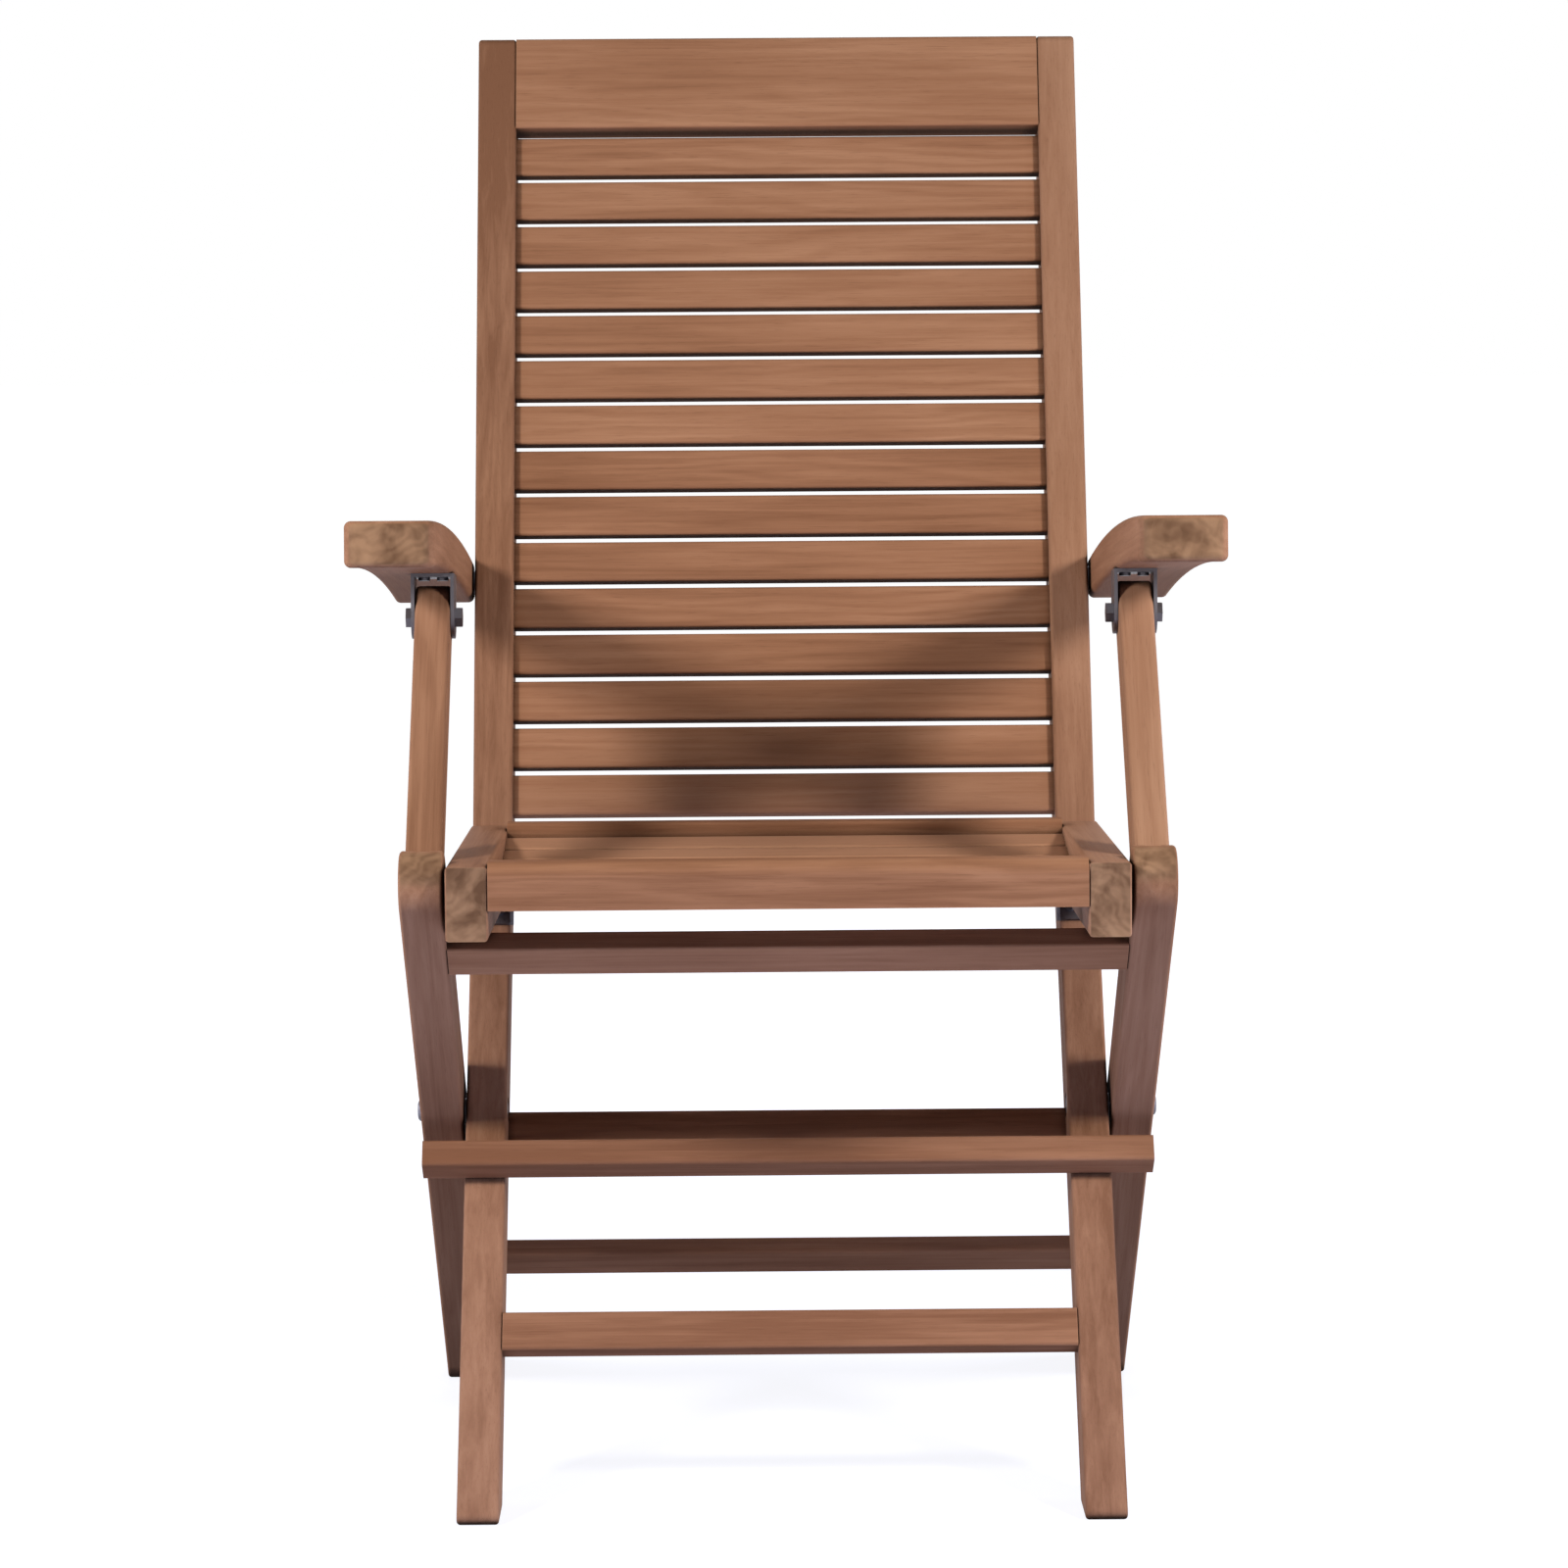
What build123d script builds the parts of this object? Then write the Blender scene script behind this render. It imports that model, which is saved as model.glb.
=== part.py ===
"""Folding wooden armchair with a tall slatted back.

The chair faces -Y and stands on Z = 0. The origin is the middle of its footprint box.
Each long stile is a back upright and a front leg in one bent piece. The outer rear legs cross
the front legs at a bolt, the seat swings up on brackets at its rear, and each arm swings up on
a bolt in its stile, with a strut that stands in an open slot in the rear leg's head.
"""
import os
from math import cos, degrees, radians, sin, tan

from build123d import *

os.makedirs("parts", exist_ok=True)

# Frame of the back and the front legs
back_width = 460.0            # across the outer faces of the stiles
stile_thickness = 29.0        # along X
stile_depth = 46.0            # front to back, square to the stile
front_leg_lean = 37.0         # degrees from upright
back_lean = 21.7              # degrees from upright
bend_height = 440.0           # where the front leg turns into the back
back_height = 1032.0          # top front corner of the stiles
bend_radius = 150.0           # on the front faces
top_round = 6.0               # stile top corners, seen from the side
foot_round = 5.0              # foot corners, seen from the side
edge_round = 2.5              # long edges of the heavy members

# Rear legs
leg_thickness = 30.0
leg_depth = 46.0
leg_lean = 48.5               # degrees from upright
leg_gap = 2.0                 # between a stile and its rear leg
leg_head_ahead = 37.0         # leg's front face ahead of the front feet, at leg_head_height
leg_head_height = 448.0
leg_head_drop = 34.0          # down the leg to the centre of its round head

# Cross members, all let into the members that carry them
tenon_length = 10.0
tenon_clearance = 0.1
tenon_shoulder = 3.0          # round the tenons of bars that lie flush with a face
slat_spacing = 36.5           # about, from slat to slat; the slats share the back's height evenly
slat_width = 31.0
slat_thickness = 12.0
lowest_slat_up = 16.0         # up the back from the bend
slat_recess = 8.0             # slat faces behind the stile faces
slat_round = 2.5
top_rail_width = 74.0
top_rail_thickness = 24.0
top_rail_drop = 1.0           # below the stiles' own top corners, which are rounder
stretcher_width = 29.0
stretcher_thickness = 14.0
stretcher_round = 2.0
front_stretcher_up = 148.0    # up the front leg
pivot_stretcher_up = 322.0    # up the front leg
brace_up = 276.0              # up the front leg
brace_width = 20.0
brace_thickness = 23.0
brace_round = 2.5
brace_end_inset = 3.0         # brace ends inside the rear legs' outer faces
upper_stretcher_width = 31.0
upper_stretcher_thickness = 15.5
lower_stretcher_down = 504.0  # down the rear leg

# Seat
seat_height = 458.0           # top of the side rails at the front
seat_slope = 1.6              # degrees, down to the rear
seat_overhang = 28.0          # seat front ahead of the front feet
seat_rail_height = 50.0
seat_slat_count = 7
seat_slat_width = 32.0
seat_slat_thickness = 14.0
seat_slat_gap = 5.3
seat_slat_drop = 7.0          # first and last slat tops below the rail tops
seat_scoop = 9.0              # further drop at the middle of the seat
seat_front_rail_width = 24.0
seat_front_rail_height = 32.5
seat_front_rail_rise = 3.0    # above the side rails
seat_front_rail_round = 10.0
seat_rear_rail_width = 20.0
seat_rear_rail_height = 26.0
seat_rear_rail_rise = 5.0     # above the side rails
seat_pivot_drop = 14.0        # pivot below the rail tops
seat_pivot_setback = 19.0     # pivot ahead of the front legs' faces
seat_clearance = 0.4          # rails to brackets, sideways
seat_rest_gap = 0.4           # rails to the stretcher that they rest on

# Arms and struts
arm_tilt = 6.6                # degrees, front end up
arm_pivot_up = 205.0          # up the back from the bend
arm_pivot_depth = 30.0        # behind the stile's front face
arm_reach = 495.0             # pivot to front end
arm_width = 60.0
arm_thickness = 31.0
arm_bow = 8.0                 # arch of the arm at its middle
arm_corner = 9.0              # front corners, seen from above
arm_edge_round = 4.5
strut_thickness = 24.5
strut_depth = 34.0
strut_down = 50.0             # down the rear leg to the strut's middle
strut_top_reach = 6.5         # round top's centre above the clevis bolt
clevis_drop = 38.0            # clevis bolt below the arm's pivot line
strut_seat_gap = 0.3          # strut shoulder above the leg
tongue_thickness = 10.0
tongue_depth = 6.0
slot_side_clearance = 0.5
slot_end_clearance = 1.0
slot_floor_clearance = 1.0

# Steel fittings
plate = 2.5                   # sheet of the brackets and clevises
bolt_radius = 4.0
bolt_clearance = 0.05
bolt_head_radius = 8.0
bolt_head_height = 4.0
bolt_crown = 3.2              # rounding of a bolt head
hexagon_head_height = 4.3
nut_across_flats = 13.0       # hexagon heads too
nut_height = 5.2
nut_sink = 0.5                # nuts of the sunk bolts below the stile's inner face
head_clearance = 0.5          # round a sunk bolt head
washer_radius = 8.5
washer_thickness = 1.6
screw_radius = 2.0
screw_clearance = 0.05
screw_head_radius = 4.2
screw_head_height = 2.0
screw_length = 18.0
dowel_radius = 4.0
dowel_depth = 15.0            # into each of the two members
dowel_clearance = 0.05
dowel_spacing = 14.0
pin_end_wall = 3.0            # rail left outside the blind end of a pivot pin
ear_radius = 11.0             # round end of the bracket ears
clevis_width = 30.0           # along the arm
clevis_screw_spacing = 13.0
clevis_side_gap = 0.4
clevis_arm_gap = 0.15
bracket_flange_top = 22.0     # below the bend, along the front leg
bracket_flange_length = 56.0
bracket_screw_inset = 11.0    # from the flange's lower end
bracket_screw_spacing = 14.0

# Planes across the frame
x_stile_out = back_width / 2
x_stile_in = x_stile_out - stile_thickness
x_leg_in = x_stile_out + leg_gap
x_leg_out = x_leg_in + leg_thickness
x_leg_mid = (x_leg_in + x_leg_out) / 2
x_arm_in = x_leg_in
x_arm_out = x_arm_in + arm_width
x_strut_in = x_leg_mid - strut_thickness / 2
x_stile_mid = (x_stile_in + x_stile_out) / 2
x_bolt_end = x_stile_in + nut_sink
x_nut_face = x_bolt_end + nut_height
x_nut_seat = x_nut_face + washer_thickness


def member_plane(origin, lean):
    """Plane of a leaning member: x across the chair, y up the member, z out of its front face."""
    return Plane(origin=origin, x_dir=(1, 0, 0), z_dir=(0, -cos(radians(lean)), sin(radians(lean))))


def side_plane(frame, x):
    """Plane seen from the side at a given x: sketch x runs up the member, sketch y out of it."""
    return Plane(origin=frame.from_local_coords((x, 0, 0)), x_dir=frame.y_dir, z_dir=frame.x_dir)


def face_plane(frame, x, along, out):
    """Plane at a member's own place, facing out of the member."""
    return Plane(
        origin=frame.from_local_coords((x, along, out)), x_dir=frame.x_dir, z_dir=frame.z_dir,
    )


def opposite(plane):
    """The same place on the chair's other side."""
    place = plane.origin
    return Plane(origin=(-place.X, place.Y, place.Z), x_dir=plane.x_dir, z_dir=plane.z_dir)


def side_point(frame, along, out):
    """A member's own place, as a (y, z) pair."""
    place = frame.from_local_coords((0, along, out))
    return (place.Y, place.Z)


def local_point(frame, place):
    """A (y, z) pair as a member's own (along, out) place."""
    local = frame.to_local_coords(Vector(0, place[0], place[1]))
    return (local.Y, local.Z)


# Depth of the chair, from the arm tips to the back's top corners
front_leg_run = bend_height / cos(radians(front_leg_lean))
back_run = (back_height - bend_height) / cos(radians(back_lean))
bend_setback = bend_height * tan(radians(front_leg_lean))
top_setback = bend_setback + back_run * sin(radians(back_lean))
top_corner_inset = top_round * (cos(radians(back_lean)) + sin(radians(back_lean)) - 1)
back_extreme = top_setback + stile_depth * cos(radians(back_lean)) - top_corner_inset
arm_pivot_setback = (
    bend_setback + arm_pivot_up * sin(radians(back_lean)) + arm_pivot_depth * cos(radians(back_lean))
)
arm_nose_rise = arm_thickness / 2 * sin(radians(arm_tilt))
front_extreme = arm_pivot_setback - arm_reach * cos(radians(arm_tilt)) - arm_nose_rise
foot_y = -(front_extreme + back_extreme) / 2

# Frames of the leaning members
foot_frame = member_plane((0, foot_y, 0), front_leg_lean)
back_frame = member_plane((0, foot_y + bend_setback, bend_height), back_lean)
leg_frame = member_plane((0, foot_y - leg_head_ahead, leg_head_height), -leg_lean)
seat_frame = member_plane((0, foot_y - seat_overhang, seat_height), 90 + seat_slope)
arm_pivot = side_point(back_frame, arm_pivot_up, -arm_pivot_depth)
arm_frame = member_plane((0, arm_pivot[0], arm_pivot[1]), 90 + arm_tilt)


def crossing(frame_a, out_a, frame_b, out_b):
    """Place where a line along one member meets a line along another."""
    start = side_point(frame_a, 0, out_a)
    ahead = side_point(frame_a, 1, out_a)
    start_out = local_point(frame_b, start)[1] - out_b
    ahead_out = local_point(frame_b, ahead)[1] - out_b
    return side_point(frame_a, start_out / (start_out - ahead_out), out_a)


leg_pivot = crossing(foot_frame, -stile_depth / 2, leg_frame, -leg_depth / 2)
seat_pivot = crossing(seat_frame, -seat_pivot_drop, foot_frame, seat_pivot_setback)
strut_foot = side_point(leg_frame, -strut_down, -leg_depth)
strut_frame = member_plane((0, strut_foot[0], strut_foot[1]), 90 - leg_lean)
clevis_pivot = crossing(strut_frame, 0, arm_frame, -clevis_drop)
strut_length = local_point(strut_frame, clevis_pivot)[0]


def save(piece, name):
    piece.part.label = name
    export_step(piece.part, f"parts/{name}.step")


def mirrored(piece):
    with BuildPart() as other:
        mirror(piece.part, about=Plane.YZ)
    return other


def save_pair(piece, name):
    """Writes a right-hand piece and its left-hand mirror image."""
    save(piece, f"{name}_right")
    save(mirrored(piece), f"{name}_left")


def cross_bar(bar, reach):
    """A straight bar across the chair. bar is (frame, along, out, width, thickness, round, turn)."""
    frame, along, out, width, thickness, corner, turn = bar
    with BuildPart() as piece:
        with BuildSketch(side_plane(frame, -reach)):
            with Locations(Location((along, out, 0), (0, 0, turn))):
                RectangleRounded(width, thickness, corner)
        extrude(amount=2 * reach)
    return piece


def tenon_of(bar):
    """The thinner bar that a shouldered bar's tenons are the ends of."""
    frame, along, out, width, thickness, corner, turn = bar
    return (frame, along, out, width - 2 * tenon_shoulder, thickness - 2 * tenon_shoulder, corner, turn)


def shouldered_bar(bar, reach):
    """A bar whose full section ends at the members' faces, with a thinner tenon beyond."""
    full = cross_bar(bar, reach)
    tenons = cross_bar(tenon_of(bar), reach + tenon_length)
    with BuildPart() as piece:
        add(full.part)
        add(tenons.part)
    return piece


def cut_mortises(bars, x_face):
    """Pockets for the bars' ends, cut into the right-hand member being built."""
    for frame, along, out, width, thickness, corner, turn in bars:
        with BuildSketch(side_plane(frame, x_face)) as mouth:
            with Locations(Location((along, out, 0), (0, 0, turn))):
                RectangleRounded(
                    width + 2 * tenon_clearance,
                    thickness + 2 * tenon_clearance,
                    corner + tenon_clearance,
                )
        extrude(mouth.sketch, amount=tenon_length + tenon_clearance, mode=Mode.SUBTRACT)


def bore(place, x, depth, radius):
    """A round hole along X from x, cut into the member being built."""
    with BuildSketch(Plane.YZ.offset(x)) as mouth:
        with Locations(place):
            Circle(radius)
    extrude(mouth.sketch, amount=depth, mode=Mode.SUBTRACT)


def face_bore(plane, depth, radius):
    """A round hole into a face, cut into the member being built."""
    with BuildSketch(plane) as mouth:
        Circle(radius)
    extrude(mouth.sketch, amount=-depth, mode=Mode.SUBTRACT)


# Bars of the back frame
slatted_run = back_run - top_rail_drop - top_rail_width - lowest_slat_up
slat_count = round(slatted_run / slat_spacing)
slat_pitch = slatted_run / slat_count
slat_gap = slat_pitch - slat_width
first_slat_up = lowest_slat_up + slatted_run - slat_gap - slat_width / 2
slat_out = -slat_recess - slat_thickness / 2
back_slats = [
    (back_frame, first_slat_up - i * slat_pitch, slat_out, slat_width, slat_thickness, slat_round, 0)
    for i in range(slat_count)
]
top_rail_bar = (
    back_frame, back_run - top_rail_drop - top_rail_width / 2, -top_rail_thickness / 2,
    top_rail_width, top_rail_thickness, slat_round, 0,
)
front_stretcher_bar = (
    foot_frame, front_stretcher_up, -stretcher_thickness / 2,
    stretcher_width, stretcher_thickness, stretcher_round, 0,
)
pivot_stretcher_bar = (
    foot_frame, pivot_stretcher_up, stretcher_thickness / 2 - stile_depth,
    stretcher_width, stretcher_thickness, stretcher_round, 0,
)
brace_bar = (
    foot_frame, brace_up, brace_thickness / 2, brace_width, brace_thickness, brace_round, 0,
)
shouldered_bars = [top_rail_bar, front_stretcher_bar, pivot_stretcher_bar]
back_bars = back_slats + [tenon_of(bar) for bar in shouldered_bars]

# Places of the brace's dowels and of the bracket screws on the right-hand stile
dowel_planes = [
    face_plane(foot_frame, x_stile_mid + side * dowel_spacing / 2, brace_up, 0) for side in (-1, 1)
]
flange_top = front_leg_run - bracket_flange_top
flange_bottom = flange_top - bracket_flange_length
bracket_screw_planes = [
    face_plane(
        foot_frame, x_stile_mid + side * bracket_screw_spacing / 2,
        flange_bottom + bracket_screw_inset, plate,
    )
    for side in (-1, 1)
]

# Stiles
with BuildPart() as stile:
    with BuildSketch(Plane.YZ.offset(x_stile_in)) as outline:
        with BuildLine():
            Polyline(
                side_point(foot_frame, 0, 0),
                side_point(back_frame, 0, 0),
                side_point(back_frame, back_run, 0),
                side_point(back_frame, back_run, -stile_depth),
                crossing(foot_frame, -stile_depth, back_frame, -stile_depth),
                side_point(foot_frame, stile_depth * tan(radians(front_leg_lean)), -stile_depth),
                close=True,
            )
        make_face()
        front_bend, back_bend = outline.vertices().sort_by(Axis.Y)[2:4].sort_by(Axis.X)
        fillet(front_bend, bend_radius)
        fillet(back_bend, bend_radius + stile_depth)
        fillet(outline.vertices().sort_by(Axis.Y)[:2], foot_round)
        fillet(outline.vertices().sort_by(Axis.Y)[-2:], top_round)
    extrude(amount=stile_thickness)
    fillet(stile.faces().filter_by(Axis.X).edges(), edge_round)
    cut_mortises(back_bars, x_stile_in)
    for place in (leg_pivot, arm_pivot):
        bore(place, x_stile_in, stile_thickness, bolt_radius + bolt_clearance)
        bore(place, x_stile_in, x_nut_seat - x_stile_in, washer_radius + head_clearance)
    for place in dowel_planes:
        face_bore(place, dowel_depth + dowel_clearance, dowel_radius + dowel_clearance)
    for place in bracket_screw_planes:
        face_bore(place, screw_length + screw_clearance, screw_radius + screw_clearance)
save_pair(stile, "stile")

save(shouldered_bar(top_rail_bar, x_stile_in), "top_rail")
for i, bar in enumerate(back_slats):
    save(cross_bar(bar, x_stile_in + tenon_length), f"back_slat_{i + 1:02d}")
save(shouldered_bar(front_stretcher_bar, x_stile_in), "front_stretcher")
save(shouldered_bar(pivot_stretcher_bar, x_stile_in), "pivot_stretcher")

# The front brace, dowelled to the faces of the front legs
front_brace_blank = cross_bar(brace_bar, x_leg_out - brace_end_inset)
with BuildPart() as front_brace:
    add(front_brace_blank.part)
    for place in dowel_planes:
        face_bore(place, -dowel_depth - dowel_clearance, dowel_radius + dowel_clearance)
        face_bore(opposite(place), -dowel_depth - dowel_clearance, dowel_radius + dowel_clearance)
save(front_brace, "front_brace")

# The seat's rails rest on the rounded upper edge of the upper stretcher
rest_angle = radians(leg_lean + seat_slope)
rest_edge_loss = stretcher_round * (cos(rest_angle) + sin(rest_angle) - 1)
rest_edge = crossing(
    leg_frame, -upper_stretcher_thickness,
    seat_frame, rest_edge_loss - seat_rail_height - seat_rest_gap,
)
upper_stretcher_along = local_point(leg_frame, rest_edge)[0] - upper_stretcher_width / 2

# Rear legs, with a slot in the head that is open above and at the end
upper_stretcher_bar = (
    leg_frame, upper_stretcher_along, -upper_stretcher_thickness / 2,
    upper_stretcher_width, upper_stretcher_thickness, stretcher_round, 0,
)
lower_stretcher_bar = (
    leg_frame, -lower_stretcher_down, -stretcher_thickness / 2,
    stretcher_width, stretcher_thickness, stretcher_round, 0,
)
leg_bars = [tenon_of(upper_stretcher_bar), tenon_of(lower_stretcher_bar)]
leg_foot_front = -leg_head_height / cos(radians(leg_lean))
leg_foot_back = leg_foot_front - leg_depth * tan(radians(leg_lean))
slot_start = -strut_down - strut_depth / 2 - slot_end_clearance
slot_run = -slot_start
slot_depth = tongue_depth + slot_floor_clearance
slot_width = tongue_thickness + 2 * slot_side_clearance

with BuildPart() as leg:
    with BuildSketch(side_plane(leg_frame, x_leg_in)) as outline:
        with BuildLine():
            Polyline(
                (-leg_head_drop, 0),
                (leg_foot_front, 0),
                (leg_foot_back, -leg_depth),
                (-leg_head_drop, -leg_depth),
                close=True,
            )
        make_face()
        fillet(outline.vertices().sort_by(Axis.X)[:2], foot_round)
        with Locations((-leg_head_drop, -leg_depth / 2)):
            Circle(leg_depth / 2)
    extrude(amount=leg_thickness)
    fillet(leg.faces().filter_by(Axis.X).edges(), edge_round)
    with BuildSketch(side_plane(leg_frame, x_leg_mid)):
        with Locations((slot_start, -leg_depth)):
            Rectangle(2 * slot_run, 2 * slot_depth, align=(Align.MIN, Align.CENTER))
    extrude(amount=slot_width / 2, both=True, mode=Mode.SUBTRACT)
    cut_mortises(leg_bars, x_leg_in)
    bore(leg_pivot, x_leg_in, leg_thickness, bolt_radius + bolt_clearance)
save_pair(leg, "rear_leg")
save(shouldered_bar(upper_stretcher_bar, x_leg_in), "upper_stretcher")
save(shouldered_bar(lower_stretcher_bar, x_leg_in), "lower_stretcher")

# Seat bars. In the seat's frame, along runs to the rear and out is up.
seat_pivot_along = local_point(seat_frame, seat_pivot)[0]
seat_slat_pitch = seat_slat_width + seat_slat_gap
seat_middle = (seat_slat_count - 1) / 2


def seat_slat(i):
    """A seat slat on the scoop: a parabola of drop over the slats, with each slat along its slope."""
    share = (i - seat_middle) / seat_middle
    along = seat_front_rail_width + seat_slat_gap + seat_slat_width / 2 + i * seat_slat_pitch
    drop = seat_slat_drop + seat_scoop * (1 - share * share)
    turn = degrees(2 * seat_scoop * share / (seat_middle * seat_slat_pitch))
    return (
        seat_frame, along, -drop - seat_slat_thickness / 2,
        seat_slat_width, seat_slat_thickness, slat_round, turn,
    )


seat_slats = [seat_slat(i) for i in range(seat_slat_count)]
rear_rail_start = seat_front_rail_width + seat_slat_count * seat_slat_pitch + seat_slat_gap
seat_rear_bar = (
    seat_frame, rear_rail_start + seat_rear_rail_width / 2,
    seat_rear_rail_rise - seat_rear_rail_height / 2,
    seat_rear_rail_width, seat_rear_rail_height, slat_round, 0,
)
x_seat_in = x_stile_in + seat_clearance
seat_end_round = seat_pivot_drop
stile_in_seat = local_point(
    seat_frame,
    side_point(
        foot_frame,
        local_point(foot_frame, seat_pivot)[0],
        seat_pivot_setback - seat_end_round,
    ),
)
end_foot = local_point(
    seat_frame,
    crossing(foot_frame, seat_pivot_setback - seat_end_round, seat_frame, -seat_rail_height),
)

pin_hole_depth = x_stile_out - x_seat_in - pin_end_wall
with BuildPart() as seat_rail:
    with BuildSketch(side_plane(seat_frame, x_seat_in)) as outline:
        with BuildLine():
            Polyline(
                (0, 0),
                (seat_pivot_along, 0),
                stile_in_seat,
                end_foot,
                (0, -seat_rail_height),
                close=True,
            )
        make_face()
        with Locations((seat_pivot_along, -seat_pivot_drop)):
            Circle(seat_end_round)
    extrude(amount=x_stile_out - x_seat_in)
    fillet(seat_rail.faces().filter_by(Axis.X).edges(), edge_round)
    cut_mortises(seat_slats, x_seat_in)
    bore(seat_pivot, x_seat_in, pin_hole_depth, bolt_radius + bolt_clearance)
save_pair(seat_rail, "seat_rail")

with BuildPart() as seat_front_rail:
    with BuildSketch(side_plane(seat_frame, -x_seat_in)) as outline:
        with Locations((0, seat_front_rail_rise)):
            Rectangle(
                seat_front_rail_width, seat_front_rail_height, align=(Align.MIN, Align.MAX),
            )
        top_corners = outline.vertices().sort_by(Axis.Y)[2:]
        fillet(top_corners.sort_by(Axis.X)[0], seat_front_rail_round)
    extrude(amount=2 * x_seat_in)
save(seat_front_rail, "seat_front_rail")

for i, bar in enumerate(seat_slats):
    save(cross_bar(bar, x_seat_in + tenon_length), f"seat_slat_{i + 1}")
save(cross_bar(seat_rear_bar, x_seat_in), "seat_rear_rail")

# Seat brackets: a flange on the front leg's face and an ear beside the seat rail
x_ear_in = x_stile_in - plate
pivot_in_leg = local_point(foot_frame, seat_pivot)
with BuildPart() as seat_bracket:
    with BuildSketch(side_plane(foot_frame, x_ear_in)):
        with Locations(pivot_in_leg):
            Circle(ear_radius)
        with Locations((flange_bottom, 0)):
            Rectangle(bracket_flange_length, plate, align=(Align.MIN, Align.MIN))
        make_hull()
    extrude(amount=plate)
    with BuildSketch(side_plane(foot_frame, x_ear_in)):
        with Locations((flange_bottom, 0)):
            Rectangle(bracket_flange_length, plate, align=(Align.MIN, Align.MIN))
    extrude(amount=x_stile_out - edge_round - x_ear_in)
    bore(seat_pivot, x_ear_in, plate, bolt_radius + bolt_clearance)
    for place in bracket_screw_planes:
        face_bore(place, plate, screw_radius + screw_clearance)
save_pair(seat_bracket, "seat_bracket")

# Arms, arched, with a round rear end about the pivot. In the arm's frame the front is -along.
clevis_local = local_point(arm_frame, clevis_pivot)
arm_half = arm_thickness / 2
clevis_under = arm_bow * (1 - (1 + 2 * clevis_local[0] / arm_reach) ** 2) - arm_half - clevis_arm_gap
clevis_screw_planes = [
    face_plane(
        arm_frame, x_leg_mid + side * clevis_screw_spacing / 2, clevis_local[0], clevis_under - plate,
    )
    for side in (-1, 1)
]
x_arm_head = x_arm_out - bolt_head_height - head_clearance
with BuildPart() as arm:
    with BuildSketch(side_plane(arm_frame, x_arm_in)):
        with BuildLine():
            upper = ThreePointArc(
                (0, arm_half), (-arm_reach / 2, arm_half + arm_bow), (-arm_reach, arm_half)
            )
            lower = ThreePointArc(
                (-arm_reach, -arm_half), (-arm_reach / 2, arm_bow - arm_half), (0, -arm_half)
            )
            Line(upper @ 1, lower @ 0)
            ThreePointArc(lower @ 1, (arm_half, 0), upper @ 0)
        make_face()
    extrude(amount=arm_width)
    nose = arm.faces().sort_by(Axis.Y)[0]
    fillet(nose.edges().filter_by(Axis.X, reverse=True), arm_corner)
    fillet(arm.faces().sort_by(Axis.Z)[-1].edges(), arm_edge_round)
    bore(arm_pivot, x_arm_in, arm_width, bolt_radius + bolt_clearance)
    bore(arm_pivot, x_arm_head, arm_width, bolt_head_radius + head_clearance)
    for place in clevis_screw_planes:
        face_bore(place, -screw_length - screw_clearance, screw_radius + screw_clearance)
save_pair(arm, "arm")

# Struts, round at the top, with a tongue that drops into the leg's slot
strut_top = strut_length + strut_top_reach
with BuildPart() as strut:
    with BuildSketch(side_plane(strut_frame, x_strut_in)):
        with Locations((strut_seat_gap, 0)):
            Rectangle(strut_top - strut_seat_gap, strut_depth, align=(Align.MIN, Align.CENTER))
        with Locations((strut_top, 0)):
            Circle(strut_depth / 2)
    extrude(amount=strut_thickness)
    fillet(strut.faces().filter_by(Axis.X).edges(), edge_round)
    with BuildSketch(side_plane(strut_frame, x_leg_mid)):
        with Locations((-tongue_depth, 0)):
            Rectangle(2 * tongue_depth, strut_depth, align=(Align.MIN, Align.CENTER))
    extrude(amount=tongue_thickness / 2, both=True)
    bore(clevis_pivot, x_strut_in, strut_thickness, bolt_radius + bolt_clearance)
save_pair(strut, "strut")

# Clevises under the arms: an inverted U of sheet steel about each strut's top
x_clevis_in = x_strut_in - clevis_side_gap - plate
clevis_span = strut_thickness + 2 * clevis_side_gap + 2 * plate
ear_drop = clevis_under - clevis_local[1]
with BuildPart() as clevis:
    with BuildSketch(side_plane(arm_frame, x_clevis_in)):
        with Locations((clevis_local[0], clevis_under)):
            Rectangle(clevis_width, ear_drop, align=(Align.CENTER, Align.MAX))
        with Locations(clevis_local):
            Circle(clevis_width / 2)
    extrude(amount=clevis_span)
    with BuildSketch(side_plane(arm_frame, x_clevis_in + plate)):
        with Locations((clevis_local[0], clevis_under - plate)):
            Rectangle(2 * clevis_width, 2 * ear_drop, align=(Align.CENTER, Align.MAX))
    extrude(amount=clevis_span - 2 * plate, mode=Mode.SUBTRACT)
    bore(clevis_pivot, x_clevis_in, clevis_span, bolt_radius + bolt_clearance)
    for place in clevis_screw_planes:
        face_bore(place, -plate, screw_radius + screw_clearance)
save_pair(clevis, "clevis")


def bolt(place, x_head, x_end):
    """A domed bolt along X: its head bears on x_head and its shank ends at x_end."""
    toward = 1 if x_end > x_head else -1
    with BuildPart() as piece:
        with BuildSketch(Plane.YZ.offset(x_head)):
            with Locations(place):
                Circle(bolt_radius)
        extrude(amount=x_end - x_head)
        with BuildSketch(Plane.YZ.offset(x_head)):
            with Locations(place):
                Circle(bolt_head_radius)
        extrude(amount=-toward * bolt_head_height)
        crown = piece.faces().sort_by(Axis.X)[0 if toward > 0 else -1]
        fillet(crown.edges(), bolt_crown)
    return piece


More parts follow.
